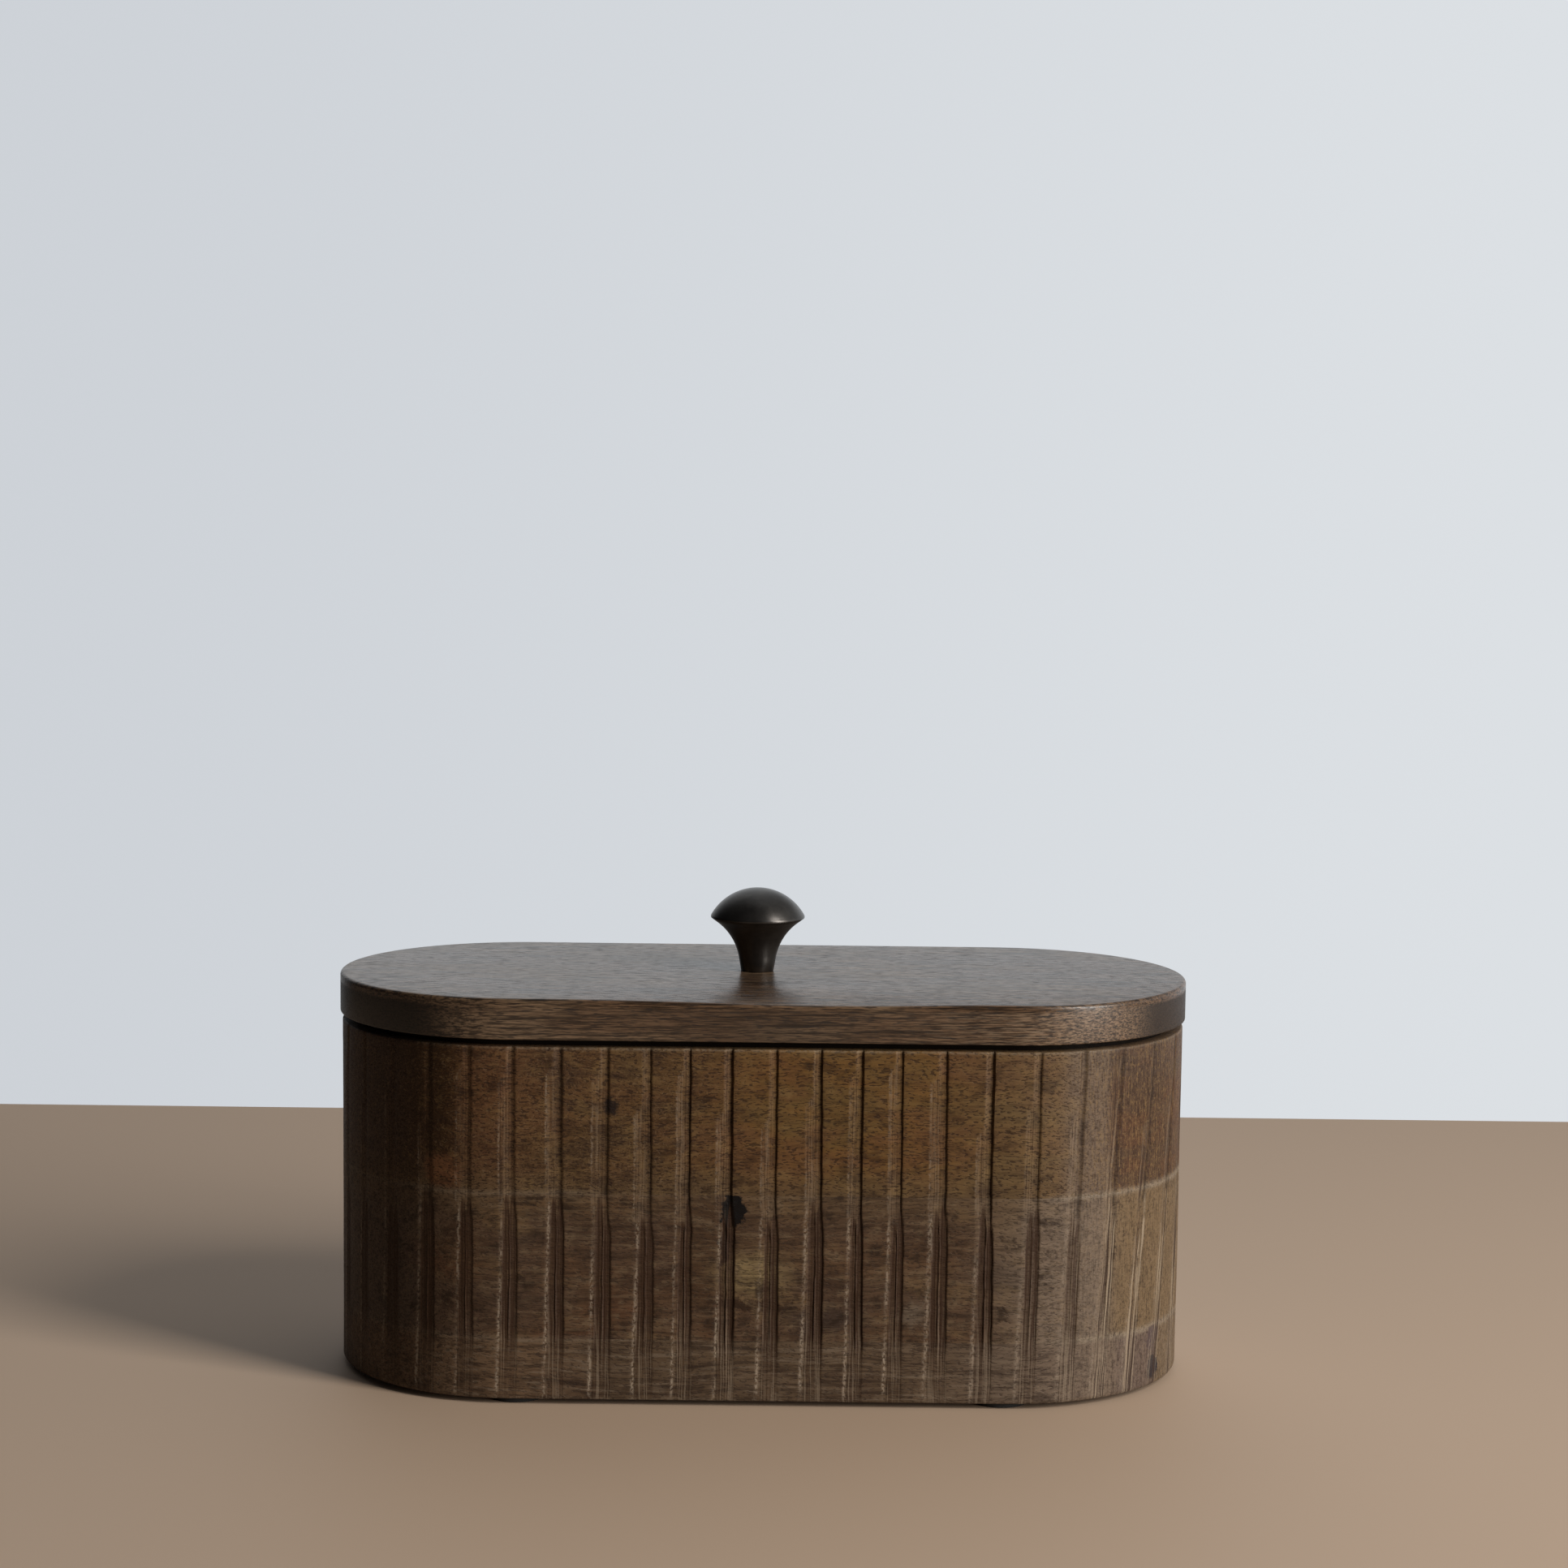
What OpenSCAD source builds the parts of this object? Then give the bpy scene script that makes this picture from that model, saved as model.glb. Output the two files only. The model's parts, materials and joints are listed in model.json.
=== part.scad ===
// Fluted wooden box. Two routed rings and a solid base board are glued into a tall
// box with straight sides and half-round ends, and flutes are carved by hand all round it.
// A loose lid with a rebated board under it drops into the mouth, and a turned metal
// knob is screwed to the lid from below. The box stands on four thin pads.
// The frame: X runs along the box, -Y is the front, Z is up from the surface it stands on.

/* [Body] */
// Length of the body, end to end
body_length = 258.6; // [200:0.1:340]
// Depth of the body, front to back
body_depth = 111.4; // [90:0.1:150]
// Thickness of the wall that the routed rings leave
wall = 11; // [8:0.1:16]
// Height of the upper ring
upper_height = 43.5; // [30:0.1:60]
// Height of the middle ring
middle_height = 43.5; // [30:0.1:60]
// Thickness of the base board
base_height = 18.3; // [10:0.1:30]
// Radius of the rounded edge under the base board
base_edge_radius = 1.5; // [0.5:0.1:4]
// Radius of the eased edge round the mouth, on the outside
mouth_edge_radius = 0.5; // [0.2:0.1:1.5]

/* [Flutes] */
// Number of flutes round the body
flute_count = 50; // [30:1:60]
// Radius of the gouge that cuts a flute
gouge_radius = 3; // [2:0.1:5]
// Depth of a flute at the mouth of the box
flute_depth_top = 0.9; // [0.5:0.05:1.5]
// Depth of a flute at the base of the box
flute_depth_base = 1.3; // [0.5:0.05:2]
// Place of the first flute, measured to the right from the middle of the front
flute_start = 3; // [-6:0.1:6]
// Slow wander of the spacing, left and right of an even pitch
slow_wander = 1.4; // [0:0.1:2]
// Quick wander of the spacing, left and right of an even pitch
quick_wander = 0.7; // [0:0.1:1.2]
// Greatest lean of a flute, from the base to the mouth
greatest_lean = 14; // [0:0.5:18]
// Place where the lean is greatest, to the right from the middle of the front
lean_place = 140; // [100:1:180]
// Reach of the lean to either side of that place
lean_reach = 40; // [20:1:60]

/* [Lid] */
// Overhang of the lid past the body, all round
lid_overhang = 0.7; // [0:0.1:4]
// Thickness of the lid board
lid_height = 12.5; // [8:0.1:20]
// Radius of the rounded upper edge of the lid
lid_edge_radius = 2; // [0.5:0.1:5]
// Thickness of the shoulder that keeps the lid board off the rim
shoulder_height = 2.1; // [1:0.1:5]
// Distance that the shoulder is set back from the outside of the body
shoulder_setback = 4; // [2:0.1:7]
// Depth of the inset board below the rim
inset_depth = 8; // [5:0.1:15]
// Clearance between the inset board and the inside of the wall
inset_clearance = 1; // [0.5:0.1:2]

/* [Knob] */
// Distance of the knob from the middle of the lid, to the right
knob_offset = -1.9; // [-10:0.1:10]
// Diameter of the knob at its foot
knob_foot_diameter = 10.1; // [9:0.1:14]
// Diameter of the knob at its rim
knob_rim_diameter = 28.9; // [24:0.1:40]
// Height of the lower edge of the knob's rim above the lid
knob_rim_height = 16.5; // [13:0.1:22]
// Height of the narrow upright band round the rim
knob_band_height = 0.7; // [0.3:0.1:2]
// Height of the whole knob above the lid
knob_height = 25.7; // [22:0.1:34]
// Slope of the stem, outwards from upright
stem_slope = 9; // [6:1:16]
// Slope of the flare under the rim, outwards from upright
flare_slope = 56; // [50:1:62]
// Radius of the hollow that joins the stem to the flare, where they leave room for it
flare_radius = 17.5; // [6:0.5:20]

/* [Fasteners] */
// Diameter of the knob screw
screw_diameter = 4; // [3:0.5:5]
// Length of the knob screw under its head
screw_length = 25; // [22:1:28]
// Diameter of the screw's pan head
screw_head_diameter = 8; // [7:0.1:9]
// Height of the screw's pan head
screw_head_height = 2.6; // [2:0.1:3]
// Diameter of the washer under the screw's head
washer_diameter = 10; // [9.5:0.1:12]
// Thickness of the washer
washer_height = 0.8; // [0.5:0.1:1.2]
// Clearance between the screw and its hole in the lid and the washer, on the radius
screw_clearance = 0.25; // [0.1:0.05:0.5]
// Clearance between the screw and the thread in the knob, on the radius
thread_clearance = 0.05; // [0.02:0.01:0.1]
// Diameter of the recess that hides the screw's head
recess_diameter = 14; // [13:0.1:20]
// Depth of that recess
recess_depth = 4; // [3.5:0.1:5]

/* [Feet] */
// Diameter of each pad
foot_diameter = 18; // [10:0.5:24]
// Height of each pad
foot_height = 1.7; // [1:0.1:4]
// Distance of a pad's edge from the outside of the body at the front or back
foot_inset = 2; // [2:0.1:10]
// Distance of a pad's centre from the middle of the box, to the left or right
foot_place = 72; // [40:1:90]

/* [Hidden] */
$fn = 96;

// Plan of the body: straight sides between two half-round ends
body_radius = body_depth / 2;
straight = body_length - body_depth;
end_arc = PI * body_radius;
around = 2 * (straight + end_arc);
cavity_radius = body_radius - wall;
lid_radius = body_radius + lid_overhang;
shoulder_radius = body_radius - shoulder_setback;
inset_radius = cavity_radius - inset_clearance;

// Levels, from the surface that the box stands on
base_level = foot_height;
middle_level = base_level + base_height;
upper_level = middle_level + middle_height;
rim_level = upper_level + upper_height;
lid_level = rim_level + shoulder_height;
lid_top = lid_level + lid_height;
inset_level = rim_level - inset_depth;
body_height = rim_level - base_level;

// How far a cut runs past the faces that it opens
overcut = 1;

// Flute spacing: waves of wander in one turn round the body
slow_waves = 3;
quick_waves = 10;
flute_pitch = around / flute_count;

// Knob: the straight stem and the straight flare would meet at a corner, which the hollow rounds
knob_foot_radius = knob_foot_diameter / 2;
knob_rim_radius = knob_rim_diameter / 2;
stem_run = tan(stem_slope);
flare_run = tan(flare_slope);
corner_height = (knob_rim_radius - knob_foot_radius - knob_rim_height * flare_run) / (stem_run - flare_run);
corner_radius = knob_foot_radius + corner_height * stem_run;
half_turn = (flare_slope - stem_slope) / 2;
stem_length = corner_height / cos(stem_slope);
flare_length = (knob_rim_height - corner_height) / cos(flare_slope);
hollow_share = 0.98;
hollow_reach = min(flare_radius * tan(half_turn), hollow_share * stem_length, hollow_share * flare_length);
hollow_radius = hollow_reach / tan(half_turn);
hollow_middle = hollow_radius / cos(half_turn);
mean_slope = (flare_slope + stem_slope) / 2;
band_top = knob_rim_height + knob_band_height;
dome_height = knob_height - band_top;
dome_radius = (knob_rim_radius ^ 2 + dome_height ^ 2) / (2 * dome_height);

// Screw stack, from the head upwards
washer_level = inset_level + recess_depth - washer_height;
screw_radius = screw_diameter / 2;
screw_hole_radius = screw_radius + screw_clearance;
thread_radius = screw_radius + thread_clearance;
screw_top = washer_level + screw_length;
thread_spare = 1.5;
thread_depth = screw_top + thread_spare - lid_top;
head_edge_radius = screw_head_height / 2;
driver_slot_length = 0.55 * screw_head_diameter;
driver_slot_width = 0.9;
driver_slot_depth = 0.5 * screw_head_height;

// Feet
foot_radius = foot_diameter / 2;
foot_y = body_radius - foot_inset - foot_radius;

// Wood, metal and pad colours
upper_colour = "#7a5a36";
middle_colour = "#6b5139";
base_colour = "#5f4836";
lid_colour = "#4b3624";
inset_colour = "#6e5233";
knob_colour = "#3a342f";
steel_colour = "#9a9690";
pad_colour = "#1d1b1a";

// Distance round the body, brought into one turn
function in_one_turn(s) = s - around * floor(s / around);

// Direction that the side faces at a distance round the body from the middle of the front
function facing(s) =
    let (t = in_one_turn(s), right = straight / 2, back = right + end_arc, left = back + straight)
    t < right ? -90 :
    t < back ? -90 + 180 * (t - right) / end_arc :
    t < left ? 90 :
    t < left + end_arc ? 90 + 180 * (t - left) / end_arc :
    270;

// Place along X of the line that the side curves round, or lies square to, at that distance
function centre_x(s) =
    let (t = in_one_turn(s), right = straight / 2, back = right + end_arc, left = back + straight)
    t < right ? t :
    t < back ? right :
    t < left ? right - (t - back) :
    t < left + end_arc ? -right :
    t - around;

// Point beside the body at a distance round it, a distance out from its side and a level
function beside(s, out, level) = [
    centre_x(s) + (body_radius + out) * cos(facing(s)),
    (body_radius + out) * sin(facing(s)),
    level
];

// Place of a flute at half its height
function flute_place(i) =
    flute_start + i * flute_pitch
    - slow_wander * sin(360 * slow_waves * i / flute_count)
    + quick_wander * sin(360 * quick_waves * i / flute_count);

// Lean of a flute, from the base to the mouth: a bell curve round the right-hand end
function flute_lean(i) = greatest_lean * exp(-((flute_place(i) - lean_place) / lean_reach) ^ 2);

// Flat outline with straight sides and half-round ends
module stadium(radius) {
    square([straight, 2 * radius], center = true);
    for (side = [-1, 1])
        translate([side * straight / 2, 0])
            circle(radius);
}

// Carries a profile of distance out and height round the plan of the box
module carry_round() {
    for (side = [0, 180])
        rotate(side)
            translate([-straight / 2, 0, 0])
                rotate([90, 0, 90])
                    linear_extrude(straight)
                        children();
    for (side = [0, 180])
        rotate(side)
            translate([straight / 2, 0, 0])
                rotate(-90)
                    rotate_extrude(angle = 180)
                        children();
}

// Half section of a board whose upper outer edge is rounded
module edged_profile(radius, height, edge) {
    square([radius, height - edge]);
    square([radius - edge, height]);
    translate([radius - edge, height - edge])
        circle(edge);
}

// One gouge cut, from a point beside the base to a point beside the mouth
module flute(i) {
    lower = beside(flute_place(i) - flute_lean(i) / 2, gouge_radius - flute_depth_base, base_level);
    upper = beside(flute_place(i) + flute_lean(i) / 2, gouge_radius - flute_depth_top, rim_level);
    way = upper - lower;
    translate(lower)
        rotate([0, acos(way.z / norm(way)), atan2(way.y, way.x)])
            translate([0, 0, -2 * overcut])
                cylinder(h = norm(way) + 4 * overcut, r = gouge_radius);
}

module flutes() {
    for (i = [0 : flute_count - 1])
        flute(i);
}

// The room inside the rings
module cavity(level, height) {
    translate([0, 0, level - overcut])
        linear_extrude(height + 2 * overcut)
            stadium(cavity_radius);
}

module upper_ring() {
    color(upper_colour)
        difference() {
            translate([0, 0, upper_level])
                carry_round()
                    edged_profile(body_radius, upper_height, mouth_edge_radius);
            cavity(upper_level, upper_height);
            flutes();
        }
}

module middle_ring() {
    color(middle_colour)
        difference() {
            translate([0, 0, middle_level])
                linear_extrude(middle_height)
                    stadium(body_radius);
            cavity(middle_level, middle_height);
            flutes();
        }
}

module base_board() {
    color(base_colour)
        difference() {
            translate([0, 0, middle_level])
                mirror([0, 0, 1])
                    carry_round()
                        edged_profile(body_radius, base_height, base_edge_radius);
            flutes();
        }
}

// Hole for the knob screw through both boards of the lid
module screw_hole() {
    translate([knob_offset, 0, inset_level - overcut])
        cylinder(h = lid_top - inset_level + 2 * overcut, r = screw_hole_radius);
}

module lid_board() {
    color(lid_colour)
        difference() {
            translate([0, 0, lid_level])
                carry_round()
                    edged_profile(lid_radius, lid_height, lid_edge_radius);
            screw_hole();
        }
}

// The board under the lid: its rebated edge leaves a shoulder that lies on the rim
module lid_inset() {
    color(inset_colour)
        difference() {
            union() {
                translate([0, 0, rim_level])
                    linear_extrude(shoulder_height)
                        stadium(shoulder_radius);
                translate([0, 0, inset_level])
                    linear_extrude(inset_depth)
                        stadium(inset_radius);
            }
            screw_hole();
            translate([knob_offset, 0, inset_level - overcut])
                cylinder(h = recess_depth + overcut, d = recess_diameter);
        }
}

// Half section of the knob: stem, hollow, flare, band round the rim and dome
module knob_profile() {
    difference() {
        polygon([
            [0, 0],
            [knob_foot_radius, 0],
            [corner_radius - hollow_reach * sin(stem_slope), corner_height - hollow_reach * cos(stem_slope)],
            [corner_radius + hollow_reach * sin(flare_slope), corner_height + hollow_reach * cos(flare_slope)],
            [knob_rim_radius, knob_rim_height],
            [knob_rim_radius, band_top],
            [0, band_top]
        ]);
        translate([corner_radius + hollow_middle * cos(mean_slope), corner_height - hollow_middle * sin(mean_slope)])
            circle(hollow_radius);
    }
    intersection() {
        translate([0, knob_height - dome_radius])
            circle(dome_radius);
        translate([0, band_top])
            square([knob_rim_radius, dome_height]);
    }
}

module knob() {
    color(knob_colour)
        translate([knob_offset, 0, lid_top])
            difference() {
                rotate_extrude()
                    knob_profile();
                translate([0, 0, -overcut])
                    cylinder(h = thread_depth + overcut, r = thread_radius);
            }
}

// Pan-head screw with a crossed slot, head downwards
module knob_screw() {
    color(steel_colour)
        translate([knob_offset, 0, washer_level]) {
            cylinder(h = screw_length, r = screw_radius);
            mirror([0, 0, 1])
                difference() {
                    rotate_extrude()
                        edged_profile(screw_head_diameter / 2, screw_head_height, head_edge_radius);
                    for (turn = [0, 90])
                        rotate(turn)
                            translate([0, 0, screw_head_height])
                                cube([driver_slot_length, driver_slot_width, 2 * driver_slot_depth], center = true);
                }
        }
}

module knob_washer() {
    color(steel_colour)
        translate([knob_offset, 0, washer_level])
            difference() {
                cylinder(h = washer_height, d = washer_diameter);
                translate([0, 0, -overcut])
                    cylinder(h = washer_height + 2 * overcut, r = screw_hole_radius);
            }
}

// One round pad under the base, to the left or right and at the front or back
module foot(side_x, side_y) {
    color(pad_colour)
        translate([side_x * foot_place, side_y * foot_y, 0])
            cylinder(h = foot_height, r = foot_radius);
}

module foot_front_left() { foot(-1, -1); }
module foot_front_right() { foot(1, -1); }
module foot_back_left() { foot(-1, 1); }
module foot_back_right() { foot(1, 1); }

upper_ring();
middle_ring();
base_board();
lid_board();
lid_inset();
knob();
knob_screw();
knob_washer();
foot_front_left();
foot_front_right();
foot_back_left();
foot_back_right();
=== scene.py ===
"""The looks of a fluted wooden box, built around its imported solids.

The two rings and the base board of the body, the lid, the board under it, the knob and the pads are
surfaces worked out with numpy, and every surface has a procedural finish of its own.
"""
import json
import math
from types import SimpleNamespace

import bpy
import numpy as np
from mathutils import Matrix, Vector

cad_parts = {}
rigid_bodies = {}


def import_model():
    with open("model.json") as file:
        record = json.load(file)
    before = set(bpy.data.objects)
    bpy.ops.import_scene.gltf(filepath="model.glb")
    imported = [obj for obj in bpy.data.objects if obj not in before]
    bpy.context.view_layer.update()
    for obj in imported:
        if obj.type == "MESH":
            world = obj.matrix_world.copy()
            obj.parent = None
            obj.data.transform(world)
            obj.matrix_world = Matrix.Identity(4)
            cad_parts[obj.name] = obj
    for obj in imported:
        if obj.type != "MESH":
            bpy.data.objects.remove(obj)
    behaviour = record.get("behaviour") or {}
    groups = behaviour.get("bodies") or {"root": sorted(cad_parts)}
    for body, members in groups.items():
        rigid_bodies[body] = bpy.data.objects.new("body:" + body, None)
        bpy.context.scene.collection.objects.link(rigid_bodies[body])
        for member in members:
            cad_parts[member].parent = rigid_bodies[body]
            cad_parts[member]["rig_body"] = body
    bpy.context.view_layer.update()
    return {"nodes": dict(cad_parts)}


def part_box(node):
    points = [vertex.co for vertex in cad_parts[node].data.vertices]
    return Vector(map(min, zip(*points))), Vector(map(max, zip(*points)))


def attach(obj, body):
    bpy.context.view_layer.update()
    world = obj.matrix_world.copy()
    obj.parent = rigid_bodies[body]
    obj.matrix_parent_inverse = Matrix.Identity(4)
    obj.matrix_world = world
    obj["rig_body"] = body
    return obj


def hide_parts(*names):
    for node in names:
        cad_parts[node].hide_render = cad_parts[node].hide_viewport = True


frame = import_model()

MM = 0.001
TURN = 2 * math.pi

# Plan and levels of the box, read from the solids
upper_low, upper_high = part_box("upper_ring")
middle_low, middle_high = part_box("middle_ring")
base_low, base_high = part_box("base_board")
lid_low, lid_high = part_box("lid_board")
inset_low, inset_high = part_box("lid_inset")
knob_low, knob_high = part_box("knob")
BODY_RADIUS = (middle_high.y - middle_low.y) / 2
LID_RADIUS = (lid_high.y - lid_low.y) / 2
SHOULDER_RADIUS = (inset_high.y - inset_low.y) / 2
STRAIGHT = middle_high.x - middle_low.x - 2 * BODY_RADIUS
END_ARC = math.pi * BODY_RADIUS
AROUND = 2 * (STRAIGHT + END_ARC)
BODY_HEIGHT = upper_high.z - base_low.z

# Sizes that the solids' boxes don't show
WALL = 11 * MM
INSET_CLEARANCE = 1 * MM
MOUTH_EASE, JOINT_EASE = 0.6 * MM, 0.02 * MM
BASE_EDGE_IN, BASE_EDGE_UP = 0.6 * MM, 1.4 * MM
LID_LOWER_EASE, LID_UPPER_EASE = 0.5 * MM, 1.1 * MM
INSET_EASE, SQUARE_EASE = 1.2 * MM, 0.05 * MM
PAD_LOWER_EASE, PAD_UPPER_EASE = 0.4 * MM, 0.3 * MM
CAP_MARGIN = 5 * MM

# Rows of points on the rings, the base board and the lid
ROW_STEP, LAST_ROW_MARGIN = 1.2 * MM, 0.3 * MM
EASE_ROWS = np.array([1, 0.6, 0.3, 0.1, 0])
INSIDE_ROWS = 8
BASE_EDGE_ROWS, BASE_SIDE_ROWS = 9, 12
LID_TOP_ROWS = 16

# Flutes: the spacing and the lean that the solids have
FLUTE_COUNT = 50
FLUTE_START = 3 * MM
SLOW_WANDER, SLOW_WAVES = 1.4 * MM, 3
QUICK_WANDER, QUICK_WAVES = 0.7 * MM, 10
GREATEST_LEAN, LEAN_PLACE, LEAN_REACH = 14 * MM, 140 * MM, 40 * MM

# Wobble of the hand: size, waves up the body and shift from flute to flute of each wave
PATH_WOBBLE = 0.08 * MM
WOBBLE_WAVES = ((1, 1.1, 0.61), (0.5, 2.7, 0.37))

# Flutes: the cut, a hollow pass all the way down and two channels side by side in its lower part
GROOVE_LEFT, GROOVE_RIGHT = 4.6 * MM, 3.7 * MM
NARROW_LEFT, PASS_LEFT, PASS_FOOT, PASS_RIGHT = -0.7 * MM, -2.9 * MM, 1.65 * MM, 2.1 * MM
PASS_DEPTH_MOUTH, PASS_DEPTH_BASE, PASS_LOSS = 0.70 * MM, 0.34 * MM, 0.6
WIDE_FROM, WIDE_RUN_IN = (84 * MM, 106 * MM), 4 * MM
CHANNEL_DEPTH, CHANNEL_HALF, CHANNEL_POINT = 0.48 * MM, 1.4 * MM, 0.3
CHANNEL_STEEPNESS, CHANNEL_ONSET = 1.9, 2.5
CHANNEL_PLACES, CHANNEL_DRIFTS = (-0.35 * MM, 1.5 * MM), (0.6, 0.0)
CHANNEL_TOP, CHANNEL_TOP_SPREAD, CHANNEL_RUN_IN = 62 * MM, 4 * MM, 12 * MM
BEVEL_LEFT, BEVEL_RIGHT, BEVEL_DEPTH = -2.7 * MM, -1.4 * MM, 0.17 * MM
EDGE_DRIFT = 1.3 * MM
CUT_FADE, CUT_FADE_FROM = 4 * MM, 0.3
BASE_FADE, BASE_FADE_FROM = 12 * MM, 0.3
TOOL_LINE, TOOL_LINE_PITCH = 0.045 * MM, 0.8 * MM
EDGE_JITTER, JITTER_WAVES = 0.05 * MM, (9 * MM, 23 * MM)
FLUTE_SEED = 11

# Flutes: softer and shallower cuts round the right-hand end and round the shaded left-hand end
SOFT_REACH = 48 * MM
SHADED_PLACE, SHADED_REACH, SHADED_SHARE = 112 * MM, 62 * MM, 0.8
SHALLOW_RIGHT, SHALLOW_SHADED = 0.55, 0.6
SOFT_FOOT, SOFT_WALL = 0.9 * MM, 0.3 * MM

# Flutes: the edges that the finish shows, the dark edge by the right wall being painted shade
STRIP_LEFT, STRIP_RIGHT = 0.6 * MM, 2.4 * MM
UPPER_EDGE, UPPER_EDGE_IN, UPPER_EDGE_HALF = 0.6, 0.2 * MM, 0.28 * MM
LOWER_EDGE_HALF, BROAD_EDGE_HALF = 0.42 * MM, 0.25 * MM
BROAD_PLACE, BROAD_REACH = 100 * MM, 70 * MM
DARK_EDGE_SHIFT, DARK_EDGE_HALF = 0.7 * MM, 0.5 * MM
DARK_SHADE, DARK_SHADE_HALF = 0.45, 1.4 * MM
MOUTH_LINE, MOUTH_LINE_HALF = 0.35, 0.5 * MM
FOOT_LINE, FOOT_LINE_HALF = 0.45, 0.7 * MM

# Scraper on the lands: size, waves round the body and height of each wave
SCRAPE = 0.05 * MM
SCRAPE_WAVES = ((1, 14, 14 * MM), (0.7, 27, -9 * MM))


def smooth(x):
    """Smooth step: 0 below 0, 1 above 1, and 3x^2 - 2x^3 between."""
    x = np.clip(x, 0, 1)
    return x * x * (3 - 2 * x)


def bell(x):
    """Bell curve: e to the power of minus x squared."""
    return np.exp(-x * x)


def stacked(*blocks):
    """Rows of several blocks, one after another."""
    return np.concatenate(blocks, axis=0)


# Surfaces

def plan(s, radius):
    """Point at a distance s round the body from the middle of the front, going right, at a radius.

    The plan is a straight segment pushed out by the radius: along a side the segment's point moves and the
    direction stands still, and round an end the point stands still and the direction turns.
    """
    half = STRAIGHT / 2
    t = np.mod(s, AROUND)
    marks = [0, half, half + END_ARC, half + END_ARC + STRAIGHT, half + 2 * END_ARC + STRAIGHT, AROUND]
    centre = np.interp(t, marks, [0, half, half, -half, -half, 0])
    facing = np.interp(t, marks, np.array([-1, -1, 1, 1, 3, 3]) * math.pi / 2)
    return centre + radius * np.cos(facing), radius * np.sin(facing)


def carry(s, radius, level):
    """Profile of radius and level carried round the plan.

    The grid has a row for each point of the profile and a column for each distance s.
    """
    x, y = plan(s, radius)
    return np.stack(np.broadcast_arrays(x, y, level), axis=-1)


def revolve(profile, centre, columns):
    """Profile of (radius, height) points turned round an upright axis: the radius times (cos, sin)."""
    angle = np.arange(columns) * TURN / columns
    radius, height = profile[:, :1], profile[:, 1:]
    x = centre[0] + radius * np.cos(angle)
    y = centre[1] + radius * np.sin(angle)
    return np.stack(np.broadcast_arrays(x, y, centre[2] + height), axis=-1)


def arc(centre, radius, start, end, steps):
    """Points on a circle from one angle to another, in degrees, in the plane of radius and height."""
    angle = np.radians(np.linspace(start, end, steps))
    across, up = centre[0] + radius * np.cos(angle), centre[1] + radius * np.sin(angle)
    return np.stack([across, up], axis=-1)


def ring_faces(rows, columns, closed):
    """Quads between neighbouring rows and columns.

    Columns close on themselves, and rows do so too if closed is set.
    """
    row = np.arange(rows if closed else rows - 1)[:, None]
    column = np.arange(columns)[None, :]
    beside = (column + 1) % columns
    here, after = row * columns, (row + 1) % rows * columns
    corners = [here + column, here + beside, after + beside, after + column]
    return np.stack(np.broadcast_arrays(*corners), axis=-1).reshape(-1, 4)


def cap_faces(first, columns, upwards):
    """Quads that close a ring of vertices: each joins two neighbours to the two opposite them."""
    k = np.arange(columns // 2 - 1)
    quads = np.stack([k, k + 1, columns - 2 - k, columns - 1 - k], axis=-1) + first
    return quads if upwards else quads[:, ::-1]


def make_piece(node, finish, grid, closed=False, sharp=35, marks=None):
    """Turns a grid of points into a closed mesh that stands for a node, and rides on the node's body.

    Rows run so that the quads face outwards: up the outside. An open grid gets a flat cap at its first and
    last row. Marks are numbers for each point, which the finish reads as attributes.
    """
    rows, columns = grid.shape[:2]
    faces = [ring_faces(rows, columns, closed)]
    if not closed:
        faces.append(cap_faces(0, columns, upwards=False))
        faces.append(cap_faces((rows - 1) * columns, columns, upwards=True))
    faces = np.concatenate(faces)
    mesh = bpy.data.meshes.new(node)
    mesh.vertices.add(rows * columns)
    mesh.vertices.foreach_set("co", grid.astype(np.float32).ravel())
    mesh.loops.add(faces.size)
    mesh.loops.foreach_set("vertex_index", faces.astype(np.int32).ravel())
    mesh.polygons.add(len(faces))
    mesh.polygons.foreach_set("loop_start", np.arange(0, faces.size, 4, dtype=np.int32))
    mesh.update(calc_edges=True)
    mesh.validate()
    mesh.polygons.foreach_set("use_smooth", np.ones(len(mesh.polygons), dtype=bool))
    mesh.set_sharp_from_angle(angle=math.radians(sharp))
    for mark, values in (marks or {}).items():
        attribute = mesh.attributes.new(mark, "FLOAT", "POINT")
        numbers = np.broadcast_to(values, (rows, columns)).astype(np.float32)
        attribute.data.foreach_set("value", numbers.ravel())
    mesh.materials.append(finish)
    piece = bpy.data.objects.new(node + "_piece", mesh)
    bpy.context.scene.collection.objects.link(piece)
    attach(piece, frame["nodes"][node]["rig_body"])
    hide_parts(node)


# The carved side of the body

def flute_paths(level):
    """Place of every flute at every level, and the next flute's place.

    Rows are levels and columns are flutes. The places have an even pitch, a slow and a quick wander, a lean
    that is a bell curve round the right-hand end, and a small wobble of the hand along the cut.
    """
    number = np.arange(FLUTE_COUNT)
    turn = TURN * number / FLUTE_COUNT
    place = FLUTE_START + AROUND * number / FLUTE_COUNT
    place = place - SLOW_WANDER * np.sin(SLOW_WAVES * turn) + QUICK_WANDER * np.sin(QUICK_WAVES * turn)
    lean = GREATEST_LEAN * bell((place - LEAN_PLACE) / LEAN_REACH)
    share = (level - base_low.z) / BODY_HEIGHT
    wobble = 0
    for size, waves, shift in WOBBLE_WAVES:
        wobble = wobble + size * np.sin(TURN * (waves * share + shift * number))
    path = place + lean * (share - 0.5) + PATH_WOBBLE * wobble
    following = np.roll(path, -1, axis=1)
    following[:, -1] += AROUND
    return path, following


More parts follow.
